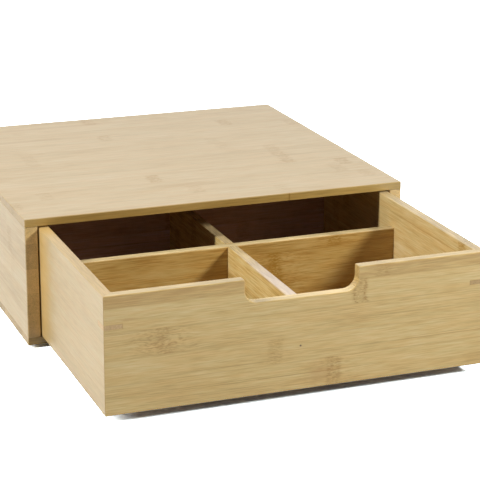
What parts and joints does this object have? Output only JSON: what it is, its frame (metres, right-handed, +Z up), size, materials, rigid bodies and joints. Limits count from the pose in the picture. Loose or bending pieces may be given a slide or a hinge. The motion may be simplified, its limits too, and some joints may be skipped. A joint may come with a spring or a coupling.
{
  "type": "coffee capsule drawer",
  "caption": "Low bamboo case with one sliding drawer, split by crossed dividers into compartments for coffee capsules, with a finger notch in the drawer's front.",
  "frame": {"origin": "on the surface that the feet stand on, under the middle of the bounding box with the drawer drawn out", "axes": "+Z up, +Y to the back, the way the drawer goes in; the drawer opens towards -Y"},
  "size_m": [0.31, 0.456, 0.1023],
  "materials": {
    "case_bamboo": "flat-pressed bamboo boards, sanded and matt lacquered",
    "drawer_bamboo": "flat-pressed bamboo boards, sanded and matt lacquered",
    "divider_bamboo": "thin bamboo boards, sanded and matt lacquered",
    "panel_bamboo": "thin bamboo panel, sanded",
    "key_bamboo": "bamboo keys, sanded flush with the walls and matt lacquered",
    "foot_pad": "thin matt anti-slip pad"
  },
  "bodies": {
    "case": {"case_top": "case_bamboo", "case_bottom": "case_bamboo", "case_left_side": "case_bamboo", "case_right_side": "case_bamboo", "case_back": "case_bamboo", "foot_front_left": "foot_pad", "foot_front_right": "foot_pad", "foot_rear_left": "foot_pad", "foot_rear_right": "foot_pad"},
    "drawer": {"drawer_front": "drawer_bamboo", "drawer_left_side": "drawer_bamboo", "drawer_right_side": "drawer_bamboo", "drawer_back": "drawer_bamboo", "drawer_bottom": "panel_bamboo", "cross_divider": "divider_bamboo", "length_divider": "divider_bamboo", "mitre_key_front_left": "key_bamboo", "mitre_key_front_right": "key_bamboo", "mitre_key_rear_left": "key_bamboo", "mitre_key_rear_right": "key_bamboo"}
  },
  "joints": [
    {"name": "drawer_slide", "type": "slide", "parent": "case", "child": "drawer", "axis": [0, -1, 0], "range_m": [-0.166, 0.057]}
  ]
}
